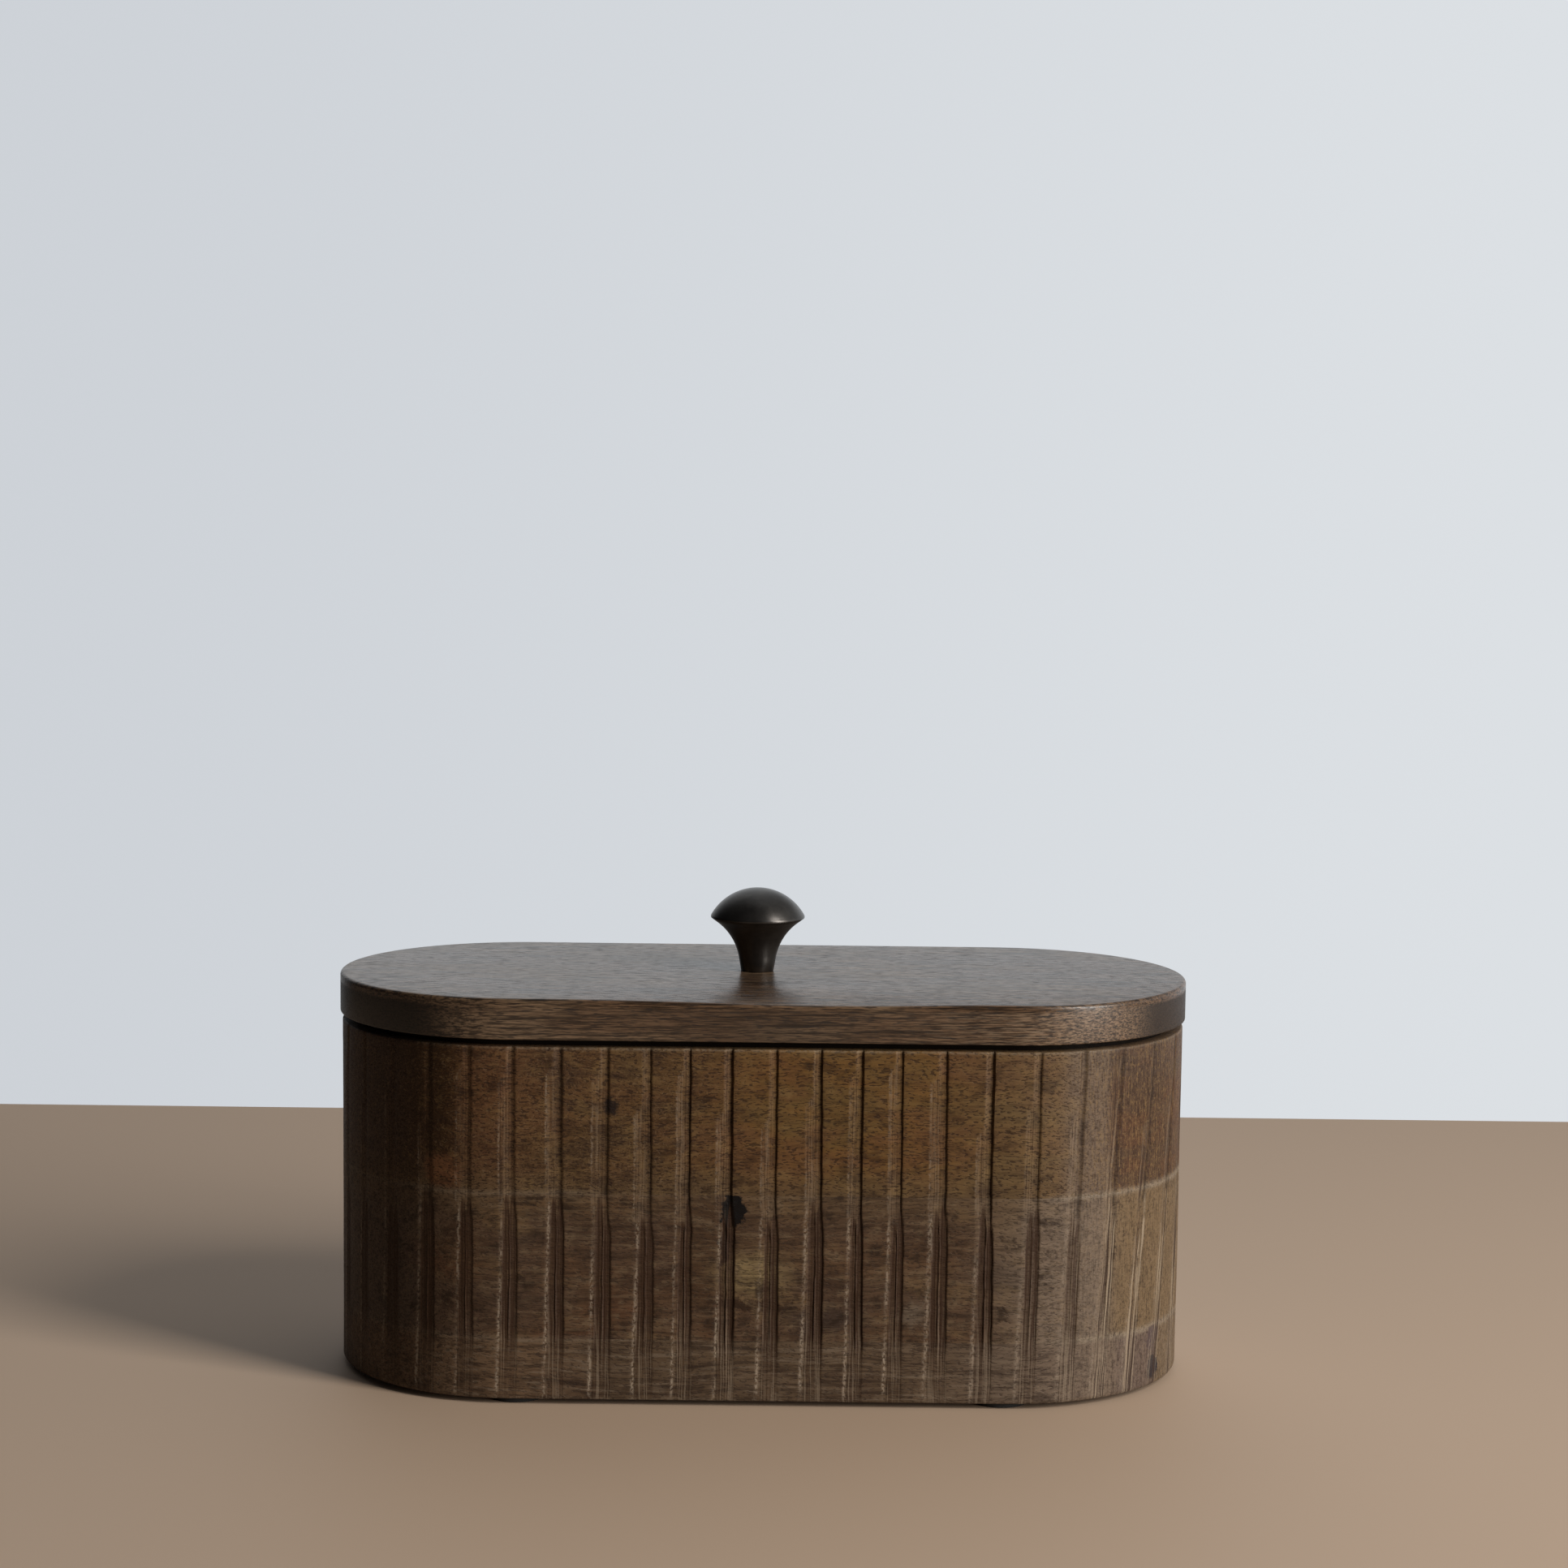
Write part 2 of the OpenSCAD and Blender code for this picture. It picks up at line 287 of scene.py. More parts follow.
def flute_cut(offset, level):
    """Depth of the cut across every flute at every level, and the finish's marks for it.

    The cut is the deeper of a pass, a bevel and two channels. The pass falls from the left as a sine, to a
    steep wall on the right. It starts narrow at the mouth and widens at a level of its own on each flute.
    The channels have pointed starts at levels of their own too, flat floors with fine tool lines and the
    bevel on their left, which drifts away from them towards the foot of the box. The edges waver a little
    along the cut, and the cuts at both ends are shallower and softer.
    """
    hand = np.random.default_rng(FLUTE_SEED)
    number = np.arange(FLUTE_COUNT)[:, None]
    strength = hand.uniform(0.75, 1.2, FLUTE_COUNT)[:, None]
    width = hand.uniform(0.85, 1.12, FLUTE_COUNT)[:, None]
    wide_from = hand.uniform(*WIDE_FROM, FLUTE_COUNT)[:, None]
    pale_edge = hand.uniform(BEVEL_LEFT, BEVEL_RIGHT, FLUTE_COUNT)[:, None]
    place = FLUTE_START + AROUND * number / FLUTE_COUNT
    soft_right = bell((place - LEAN_PLACE) / SOFT_REACH)
    soft_left = bell((place - AROUND + SHADED_PLACE) / SHADED_REACH)
    soft = soft_right + SHADED_SHARE * soft_left
    shallow = 1 - SHALLOW_RIGHT * soft_right - SHALLOW_SHADED * soft_left
    level = level[..., None]
    jitter = 0
    for wave in JITTER_WAVES:
        phase = level / wave + hand.uniform(0, 1, FLUTE_COUNT)[:, None]
        jitter = jitter + EDGE_JITTER * np.sin(TURN * phase)
    across = (offset + jitter) / width
    height = (level - base_low.z) / BODY_HEIGHT
    fade = smooth((level - base_low.z) / CUT_FADE * (1 - CUT_FADE_FROM) + CUT_FADE_FROM)
    widened = smooth((wide_from - level) / WIDE_RUN_IN)
    left = NARROW_LEFT + (PASS_LEFT - NARROW_LEFT) * widened
    foot, right = PASS_FOOT - SOFT_FOOT * soft, PASS_RIGHT + SOFT_WALL * soft
    way = np.clip((across - left) / (foot - left), 0, 1)
    wall = np.clip((right - across) / (right - foot), 0, 1)
    depth = PASS_DEPTH_BASE + (PASS_DEPTH_MOUTH - PASS_DEPTH_BASE) * height
    cut = np.sin(way * math.pi / 2) * wall * depth
    cut = cut * (1 - PASS_LOSS * smooth((CHANNEL_TOP - level) / CHANNEL_RUN_IN))
    drift = EDGE_DRIFT * np.clip((CHANNEL_TOP - level) / (CHANNEL_TOP - base_low.z), 0, 1)
    lower, hollow = 0, 0
    above_base = BASE_FADE_FROM + (1 - BASE_FADE_FROM) * smooth((level - BASE_FADE) / BASE_FADE)
    for middle, drifting in zip(CHANNEL_PLACES, CHANNEL_DRIFTS):
        top = CHANNEL_TOP + hand.uniform(-1, 1, FLUTE_COUNT)[:, None] * CHANNEL_TOP_SPREAD
        begun = smooth((top - level) / CHANNEL_RUN_IN)
        half = CHANNEL_HALF * (CHANNEL_POINT + (1 - CHANNEL_POINT) * begun)
        aside = np.abs(across - middle + drifting * drift)
        channel = smooth((1 - aside / half) * CHANNEL_STEEPNESS) * smooth(CHANNEL_ONSET * begun)
        cut = np.maximum(cut, channel * CHANNEL_DEPTH * above_base)
        hollow = np.maximum(hollow, channel)
        lower = lower + smooth(CHANNEL_ONSET * begun) / len(CHANNEL_PLACES)
    from_edge = across + drift
    bevel = np.interp(from_edge, [BEVEL_LEFT, BEVEL_RIGHT, 0], [0, 1, 0]) * BEVEL_DEPTH
    cut = np.maximum(cut, bevel * lower)
    tool_lines = TOOL_LINE * np.cos(TURN * across / TOOL_LINE_PITCH)
    cut = cut + tool_lines * smooth(cut / CHANNEL_DEPTH * 2)
    cut = cut * strength * fade * shallow
    inside = smooth((across - left) / STRIP_LEFT) * smooth((foot - across) / STRIP_RIGHT)
    upper_edge = UPPER_EDGE * bell((across - left - UPPER_EDGE_IN) / UPPER_EDGE_HALF) * widened
    edge_half = LOWER_EDGE_HALF + BROAD_EDGE_HALF * bell((place - BROAD_PLACE) / BROAD_REACH)
    lower_edge = bell((from_edge - pale_edge) / edge_half) * lower
    beside = across - foot - DARK_EDGE_SHIFT * lower
    dark_edge = np.maximum(bell(beside / DARK_EDGE_HALF), DARK_SHADE * bell(beside / DARK_SHADE_HALF))
    marks = {
        "groove": np.clip(cut / CHANNEL_DEPTH, 0, 1),
        "arris": np.maximum(lower_edge, upper_edge * (1 - lower)) * fade,
        "strip": inside * (1 - lower) * fade,
        "lower": smooth(2 * hollow),
        "corner": dark_edge * fade * (1 - 0.6 * lower),
        "across": np.broadcast_to(across, cut.shape),
        "flute": np.broadcast_to(number / FLUTE_COUNT, cut.shape),
    }
    return cut, marks


def carved_side(level, groove_steps=33, land_steps=6):
    """Side of the body at the given levels: distance round it, depth below the plain side, and marks.

    Columns follow the flutes. Across a flute they stand at fixed offsets, and across the land to the next
    flute they share the way evenly. The lands have the shallow waves of a scraper.
    """
    level = np.asarray(level)[:, None]
    path, following = flute_paths(level)
    offset = np.linspace(-GROOVE_LEFT, GROOVE_RIGHT, groove_steps)
    share = np.arange(1, land_steps + 1) / (land_steps + 1)
    land_start, land_end = path + GROOVE_RIGHT, following - GROOVE_LEFT
    land = land_start[..., None] + (land_end - land_start)[..., None] * share
    columns = FLUTE_COUNT * (groove_steps + land_steps)
    s = np.concatenate([path[..., None] + offset, land], axis=-1).reshape(-1, columns)
    plain = np.zeros(land.shape)
    cut, marks = flute_cut(offset, level)
    cut = np.concatenate([cut, plain], axis=-1).reshape(-1, columns)
    for mark, values in marks.items():
        marks[mark] = np.concatenate([values, plain], axis=-1).reshape(-1, columns)
    turn = TURN * s / AROUND
    scraped, greatest = 0, 0
    for size, waves, height in SCRAPE_WAVES:
        scraped = scraped + size * np.sin(waves * turn + level / height)
        greatest = greatest + size
    return s, cut + SCRAPE * (1 + scraped / greatest), marks


def routed_ring(node, finish, ease):
    """A ring of the body: up its carved side, in across its top, down its inside and out across its foot.

    The side draws in to its eased upper edge as a quarter circle. The inside is plain.
    """
    low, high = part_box(node)[0].z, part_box(node)[1].z
    eased = high - ease * EASE_ROWS
    levels = np.concatenate([np.arange(low, eased[0] - LAST_ROW_MARGIN, ROW_STEP), eased])
    s, depth, marks = carved_side(levels)
    climb = np.clip((levels - eased[0]) / ease, 0, 1)[:, None]
    drawn_in = ease * (1 - np.sqrt(1 - climb * climb))
    outside = carry(s, BODY_RADIUS - depth - drawn_in, levels[:, None])
    at_mouth = bell((levels[:, None] - upper_high.z) / MOUTH_LINE_HALF)
    marks["arris"] = marks["arris"] + MOUTH_LINE * at_mouth
    inside_levels = np.linspace(high, low, INSIDE_ROWS)
    inside = carry(carved_side(inside_levels)[0], BODY_RADIUS - WALL, inside_levels[:, None])
    plain = np.zeros(inside.shape[:2])
    marks = {mark: stacked(values, plain) for mark, values in marks.items()}
    make_piece(node, finish, stacked(outside, inside), closed=True, marks=marks)


def base_block(finish):
    """The base board: its underside, its lower edge, its carved side and its top.

    The lower edge draws in as a quarter ellipse.
    """
    quarter = np.linspace(0, math.pi / 2, BASE_EDGE_ROWS)
    edge = base_low.z + BASE_EDGE_UP * (1 - np.cos(quarter))
    side = np.linspace(edge[-1], base_high.z, BASE_SIDE_ROWS)[1:]
    levels = np.concatenate([edge[:1], edge, side, side[-1:]])
    s, depth, marks = carved_side(levels)
    drop = np.clip((edge[-1] - levels) / BASE_EDGE_UP, 0, 1)[:, None]
    depth = depth + BASE_EDGE_IN * (1 - np.sqrt(1 - drop * drop))
    depth[[0, -1]] = CAP_MARGIN
    at_foot = bell((levels[:, None] - base_low.z) / FOOT_LINE_HALF)
    marks["arris"] = marks["arris"] + FOOT_LINE * at_foot
    grid = carry(s, BODY_RADIUS - depth, levels[:, None])
    make_piece("base_board", finish, grid, marks=marks)


# The lid and what is on it

def board_profile(radius, low, high, lower_ease, upper_ease):
    """Edge of a board from its underside to its top: quarter circles at the lower and the upper edge."""
    lower = arc((radius - lower_ease, low + lower_ease), lower_ease, -90, 0, 6)
    upper = arc((radius - upper_ease, high - upper_ease), upper_ease, 0, 90, 10)
    return stacked(lower, upper)


def lid_slab(finish, columns=720):
    """The lid board: a side with eased edges, and a top that is worn down towards its rim.

    The wear is greatest at the rim, most of all at the front right of the knob, and falls to nothing at its
    reach inwards as the square of the way left.
    """
    least_worn, reach = 0.3 * MM, 26 * MM
    by_knob, by_knob_place, by_knob_reach = 1.1 * MM, 20 * MM, 45 * MM
    by_end, by_end_from, by_end_run_in = 0.6 * MM, 60 * MM, 40 * MM
    low, high = lid_low.z, lid_high.z
    side = board_profile(LID_RADIUS, low, high, LID_LOWER_EASE, LID_UPPER_EASE)
    top_radius = LID_RADIUS - LID_UPPER_EASE
    inward = top_radius - np.linspace(0, reach, LID_TOP_ROWS)[1:, None]
    profile = stacked(side, np.concatenate([inward, np.full_like(inward, high)], axis=1))
    s = np.arange(columns) * AROUND / columns
    x, y = plan(s, LID_RADIUS)
    front = np.clip(-y / LID_RADIUS, 0, 1)
    right = by_knob * bell((x - by_knob_place) / by_knob_reach)
    right = right + by_end * smooth((x - by_end_from) / by_end_run_in)
    worn = least_worn + front * right
    left = np.clip(1 - (top_radius - profile[:, :1]) / reach, 0, 1) ** 2
    left[profile[:, 1] < (low + high) / 2] = 0
    grid = carry(s, profile[:, :1], profile[:, 1:] - worn * left)
    make_piece("lid_board", finish, grid)


def lid_inset_board(finish, columns=480):
    """The board under the lid: the inset part, then a step out to the shoulder that lies on the rim."""
    inset_radius = BODY_RADIUS - WALL - INSET_CLEARANCE
    inset = board_profile(inset_radius, inset_low.z, upper_high.z, INSET_EASE, SQUARE_EASE)
    shoulder = board_profile(SHOULDER_RADIUS, upper_high.z, inset_high.z, SQUARE_EASE, SQUARE_EASE)
    profile = stacked(inset, shoulder)
    s = np.arange(columns) * AROUND / columns
    make_piece("lid_inset", finish, carry(s, profile[:, :1], profile[:, 1:]))


def turned_knob(finish, columns=144):
    """The knob: a sloping stem, a hollow, a flare, a narrow round rim and a dome, turned round its axis.

    The hollow is a circle tangent to the stem and to the flare. The dome is a circle through the rim and
    the top.
    """
    foot_radius, foot_ease = 5.05 * MM, 0.2 * MM
    stem_angle, flare_angle, hollow = 9, 56, 17.5 * MM
    rim_radius, rim_height = (knob_high.x - knob_low.x) / 2, 16.5 * MM
    under, over, over_angle = 0.2 * MM, 0.9 * MM, 34
    height, top_angle = knob_high.z - knob_low.z, 89.5
    stem_slope, flare_slope = math.radians(stem_angle), math.radians(flare_angle)
    bend_rate = math.tan(stem_slope) - math.tan(flare_slope)
    corner = (rim_radius - foot_radius - rim_height * math.tan(flare_slope)) / bend_rate
    corner_radius = foot_radius + corner * math.tan(stem_slope)
    middle_slope, half_turn = (stem_slope + flare_slope) / 2, (flare_slope - stem_slope) / 2
    away = hollow / math.cos(half_turn)
    hollow_radius = corner_radius + away * math.cos(middle_slope)
    hollow_height = corner - away * math.sin(middle_slope)
    foot = np.array([[foot_radius - foot_ease, 0], [foot_radius, foot_ease]])
    bend = arc((hollow_radius, hollow_height), hollow, 180 - stem_angle, 180 - flare_angle, steps=32)
    lower_rim = arc((rim_radius - under, rim_height + under), under, flare_angle - 90, 0, steps=5)
    upper_rim = arc((rim_radius - over, rim_height + 2 * under), over, 0, over_angle, steps=8)
    rise = height - upper_rim[-1, 1]
    dome_radius = (upper_rim[-1, 0] ** 2 + rise ** 2) / (2 * rise)
    dome_start = math.degrees(math.asin((dome_radius - rise) / dome_radius))
    dome = arc((0, height - dome_radius), dome_radius, dome_start, top_angle, steps=48)[1:]
    profile = stacked(foot, bend, lower_rim, upper_rim, dome)
    centre = ((knob_low.x + knob_high.x) / 2, 0, knob_low.z)
    make_piece("knob", finish, revolve(profile, centre, columns), sharp=50)


def round_pad(node, finish, columns=64):
    """A pad under the base: a disc with an eased edge."""
    low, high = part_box(node)
    radius, thickness = (high.x - low.x) / 2, high.z - low.z
    profile = board_profile(radius, 0, thickness, PAD_LOWER_EASE, PAD_UPPER_EASE)
    centre = ((low.x + high.x) / 2, (low.y + high.y) / 2, low.z)
    make_piece(node, finish, revolve(profile, centre, columns))


# Finishes

# Tones of the carved side: tool lines, cut end grain, channels, painted shade in the corners, a painted
# highlight on the rim and worn edges
PALE_LINE = (0.215, 0.146, 0.090)
PALE_END, DARK_END = (0.390, 0.300, 0.205), (0.050, 0.029, 0.019)
BROWN_FLOOR, PALE_FOOT = (0.044, 0.020, 0.009), (0.300, 0.225, 0.155)
PAINTED_CORNER_SHADE = (0.010, 0.005, 0.003)
WORN_EDGE, PAINTED_RIM_HIGHLIGHT = (0.40, 0.310, 0.225), (0.300, 0.225, 0.145)
PALE_JOINT = (0.28, 0.215, 0.150)

# Painted shade in the gap under the lid, near black on the lid's underside and the inset board's shoulder, and
# how far its edges fade
PAINTED_GAP_SHADE, GAP_FADE = (0.008, 0.005, 0.003), 0.2 * MM


class Value:
    """A number that changes over a surface: arithmetic on it adds Math nodes."""

    def __init__(self, nodes, socket):
        self.nodes = nodes
        self.socket = socket

    def __add__(self, other):
        return self.nodes.math("ADD", self, other)

    def __sub__(self, other):
        return self.nodes.math("SUBTRACT", self, other)

    def __rsub__(self, other):
        return self.nodes.math("SUBTRACT", other, self)

    def __mul__(self, other):
        return self.nodes.math("MULTIPLY", self, other)

    def __truediv__(self, other):
        return self.nodes.math("DIVIDE", self, other)

    def __rpow__(self, other):
        return self.nodes.math("POWER", other, self)

    __radd__ = __add__
    __rmul__ = __mul__

    def rise(self, low, high):
        """0 at low and 1 at high, smooth between, and level beyond."""
        sockets = {"Value": self, "From Min": low, "From Max": high}
        return self.nodes.add("ShaderNodeMapRange", {"interpolation_type": "SMOOTHSTEP"}, sockets, "Result")

    def limit(self):
        """Kept between 0 and 1."""
        return self.nodes.add("ShaderNodeClamp", {}, {"Value": self}, "Result")

    def near(self, place, reach):
        """1 at a place, falling as a bell curve of the given reach."""
        distance = (self - place) / reach
        return math.e ** (0 - distance * distance)


class Nodes:
    """A node tree being made."""

    def __init__(self, tree):
        self.tree = tree

    def add(self, kind, settings, sockets, output):
        """Adds a node: its settings first, then the values or links of its sockets. Gives one output."""
        node = self.tree.nodes.new(kind)
        for name, value in settings.items():
            setattr(node, name, value)
        for name, value in sockets.items():
            if isinstance(value, Value):
                self.tree.links.new(value.socket, node.inputs[name])
            else:
                node.inputs[name].default_value = value
        return Value(self, node.outputs[output])

    def feed(self, node, inputs):
        """Links values to the sockets of a node that stands in the tree."""
        for socket, value in inputs.items():
            self.tree.links.new(value.socket, self.tree.nodes[node].inputs[socket])

    def math(self, operation, left, right):
        """A Math node on two values."""
        return self.add("ShaderNodeMath", {"operation": operation}, {0: left, 1: right}, 0)

    def part(self, vector, axis):
        """One axis of a vector."""
        return self.add("ShaderNodeSeparateXYZ", {}, {0: vector}, axis)

    def noise(self, vector, grain, shift, detail=2.0, roughness=0.5, output="Fac"):
        """Soft noise with the given grain along each axis, in metres."""
        scale = tuple(1 / g for g in grain)
        sockets = {"Vector": vector, "Scale": scale, "Location": shift}
        mapped = self.add("ShaderNodeMapping", {}, sockets, "Vector")
        sockets = {"Vector": mapped, "Scale": 1.0, "Detail": detail, "Roughness": roughness}
        return self.add("ShaderNodeTexNoise", {}, sockets, output)

    def pushed(self, vector, by, amount):
        """A vector moved along with the colour of a noise, by up to half an amount along each axis."""
        sockets = {0: by, 1: (0.5, 0.5, 0.5)}
        centred = self.add("ShaderNodeVectorMath", {"operation": "SUBTRACT"}, sockets, 0)
        sockets = {0: centred, 1: amount, 2: vector}
        return self.add("ShaderNodeVectorMath", {"operation": "MULTIPLY_ADD"}, sockets, 0)

    def mix(self, share, first, second):
        """Two colours mixed by a share."""
        first = first if isinstance(first, Value) else (*first, 1)
        second = second if isinstance(second, Value) else (*second, 1)
        return self.add("ShaderNodeMix", {"data_type": "RGBA"}, {0: share, 6: first, 7: second}, 2)

    def layered(self, colour, layers):
        """A colour with layers over it, each of which is a share and a tone."""
        for share, tone in layers:
            colour = self.mix(share, colour, tone)
        return colour


class Finish(Nodes):
    """A material being made: one Principled shader and the nodes that feed it."""

    def __init__(self, name, constants):
        self.material = bpy.data.materials.new(name)
        self.material.use_nodes = True
        super().__init__(self.material.node_tree)
        for socket, value in constants.items():
            self.tree.nodes["Principled BSDF"].inputs[socket].default_value = value

    def place(self):
        """Object coordinates, in metres."""
        return self.add("ShaderNodeTexCoord", {}, {}, "Object")

    def mark(self, name):
        """A number that the mesh holds for each point."""
        return self.add("ShaderNodeAttribute", {"attribute_name": name}, {}, "Fac")

    def done(self, colour, roughness, height=None, distance=0):
        """Feeds the shader its colour, its roughness and the bumps of a height. Gives the material."""
        inputs = {"Base Color": colour, "Roughness": roughness}
        if height:
            bumps = {"Height": height, "Distance": distance}
            inputs["Normal"] = self.add("ShaderNodeBump", {}, bumps, "Normal")
        self.feed("Principled BSDF", inputs)
        return self.material


def board_grain(wood, shift):
    """Grain of a board whose fibres run along the box: places, patches, streaks, fibres and pores."""
    place = wood.place()
    waves = wood.noise(place, (60 * MM, 30 * MM, 24 * MM), shift, 2.0, 0.5, "Color")
    grain = wood.pushed(place, waves, (0.004, 0.006, 0.008))
    return SimpleNamespace(
        place=place,
        x=wood.part(place, "X"),
        y=wood.part(place, "Y"),
        z=wood.part(place, "Z"),
        patches=wood.noise(place, (46 * MM, 40 * MM, 20 * MM), shift, 4.0, 0.6),
        figure=wood.noise(grain, (22 * MM, 16 * MM, 9 * MM), shift, 4.0, 0.6),
        mottle=wood.noise(grain, (8 * MM, 5 * MM, 5 * MM), shift, 4.0, 0.65),
        streaks=wood.noise(grain, (30 * MM, 2.4 * MM, 2.4 * MM), shift, 4.0, 0.65),
        stripes=wood.noise(grain, (26 * MM, 1.1 * MM, 1.1 * MM), shift, 3.0, 0.6),
        fibres=wood.noise(grain, (6 * MM, 0.8 * MM, 0.8 * MM), shift, 3.0, 0.65),
        pores=wood.noise(grain, (1.6 * MM, 0.45 * MM, 0.45 * MM), shift, 1.0, 0.5).rise(0.54, 0.64),
    )


def spotted(wood, grain, colour, spots):
    """Knots, stains and patches: a bell curve round each spot's place.

    A noise moves the places first, so the spots are ragged.
    """
    ragged = wood.noise(grain.place, (5 * MM, 5 * MM, 5 * MM), (4.4, 2.1, 0.7), 5.0, 0.65, "Color")
    moved = wood.pushed(grain.place, ragged, (0.008, 0.008, 0.010))
    axes = [wood.part(moved, axis) for axis in "XYZ"]
    for middle, reach, tone, edge in spots:
        share = 1
        for axis, at, spread in zip(axes, middle, reach):
            share = axis.near(at * MM, spread * MM) * share
        colour = wood.mix(share.rise(*edge), colour, tone)
    return colour


def carved_finish(wood, grain, colour, tones, shares, knots):
    """Finish of a carved board: figured wood, flutes with tool lines, pale worn edges, painted shade in the
    flutes' corners, a painted highlight on the rim and a satin wax.

    The tones are the dark and the light of the board's figure. The shares say how strong its clouds, its
    stripes and its pores are.
    """
    dark, light = tones
    clouds, stripes, pores = shares
    names = ("groove", "lower", "strip", "arris", "corner", "across", "flute")
    groove, lower, strip, arris, corner, across, flute = (wood.mark(name) for name in names)
    along = wood.add("ShaderNodeCombineXYZ", {}, {"X": across, "Y": grain.z, "Z": flute}, 0)
    lines = wood.noise(along, (0.5 * MM, 40 * MM, 0.013), (0.3, 0.6, 0.9), 2.0, 0.6)
    wear = wood.noise(along, (8 * MM, 11 * MM, 0.013), (0.8, 0.1, 0.4), 3.0, 0.6)
    chips = wood.noise(grain.place, (0.8 * MM, 0.8 * MM, 1.1 * MM), (1.2, 3.4, 5.6), 2.0, 0.6)
    end_fibres = wood.noise(grain.place, (0.6 * MM, 0.6 * MM, 5 * MM), (2.5, 1.5, 0.5), 3.0, 0.65)
    right = grain.x.rise(35 * MM, 90 * MM)
    right_end = grain.x.rise(84 * MM, 104 * MM)
    lit = grain.x.rise(-104 * MM, -50 * MM)
    foot = grain.z.rise(36 * MM, 10 * MM)
    above_foot = 0.35 + 0.65 * grain.z.rise(8 * MM, 25 * MM)

    along_grain = 1 - 0.75 * right_end
    cloud_light = grain.mottle.rise(0.48, 0.32) * along_grain * (0.3 + 0.7 * lit)
    colour = wood.layered(colour, [
        (grain.mottle.rise(0.52, 0.68) * along_grain * clouds, dark),
        (cloud_light * (clouds * 0.7), light),
        (grain.streaks.rise(0.52, 0.66) * along_grain * stripes, dark),
        (grain.stripes.rise(0.53, 0.63) * along_grain * stripes, dark),
        (grain.stripes.rise(0.46, 0.36) * along_grain * stripes, light),
        (grain.fibres.rise(0.46, 0.68) * 0.4, dark),
        (grain.pores * along_grain * pores, dark),
        (end_fibres.rise(0.50, 0.64) * right_end * 0.5, dark),
        (end_fibres.rise(0.48, 0.36) * right_end * 0.35, light),
        (chips.rise(0.57, 0.67) * right_end * 0.55, dark),
        (chips.rise(0.44, 0.34) * right_end * 0.4, light),
    ])
    colour = spotted(wood, grain, colour, knots)

    pale_lines = strip * (0.03 + 0.42 * lines.rise(0.47, 0.60)) * wear.rise(0.3, 0.55) * (0.2 + 0.8 * lit)
    pale_end = (0.4 * strip + lower) * lines.rise(0.50, 0.60) * wear.rise(0.3, 0.5) * right_end
    dark_end = (strip + lower) * lines.rise(0.49, 0.41) * right_end * 0.9
    brown_floor = lower * (0.62 + 0.35 * lines.rise(0.56, 0.42)) * above_foot * (1 - 0.9 * right_end)
    foot_lines = lower * foot * lines.rise(0.50, 0.58) * (0.2 + 0.8 * lit)
    # painted shade: near black in each flute's corner by its right wall, weaker towards the shaded left end
    painted_corner_shade = corner * (0.15 + 0.45 * wear.rise(0.40, 0.62) + 0.15 * right_end)
    worn_edge = arris * chips.rise(0.40, 0.58) * (0.2 + 0.8 * wear.rise(0.38, 0.58)) * (1 - 0.6 * right)
    # painted highlight: a pale line along the rim's upper edge, broken up by the chips noise and shown only
    # where the light falls
    painted_rim_highlight = grain.z.near(upper_high.z - 0.4 * MM, 0.35 * MM) * chips.rise(0.30, 0.55)
    colour = wood.layered(colour, [
        (pale_lines * (1 - 0.5 * right), PALE_LINE),
        ((pale_end * (0.9 - 0.3 * foot)).limit(), PALE_END),
        (dark_end.limit(), DARK_END),
        (strip * lines.rise(0.46, 0.36) * 0.5, dark),
        (brown_floor, BROWN_FLOOR),
        (foot_lines * 0.42, PALE_FOOT),
        (painted_corner_shade * above_foot * (0.2 + 0.8 * lit), PAINTED_CORNER_SHADE),
        ((worn_edge * (0.6 + 0.25 * foot)).limit(), WORN_EDGE),
        (painted_rim_highlight * lit * (0.3 - 0.1 * right_end), PAINTED_RIM_HIGHLIGHT),
    ])
    height = grain.fibres * 0.5 - grain.pores * 0.6 + grain.streaks * 0.3 + lines * (strip + lower) * 0.6
    roughness = 0.52 + grain.pores * 0.15 + groove * 0.15 + (grain.fibres - 0.5) * 0.2
    return wood.done(colour, roughness, height, 0.07 * MM)


def glue_line(wood, grain, colour, level):
    """A joint between two boards: a pale wavy band that shows at the ends and fades along the front."""
    wavy = grain.z + (grain.figure - 0.5) * 1.5 * MM
    shown = 0.05 + 0.25 * grain.x.rise(-35 * MM, -55 * MM) + 0.85 * grain.x.rise(80 * MM, 96 * MM)
    shown = shown * grain.fibres.rise(0.22, 0.45)
    return wood.mix(wavy.near(level, 1.0 * MM) * shown, colour, PALE_JOINT)


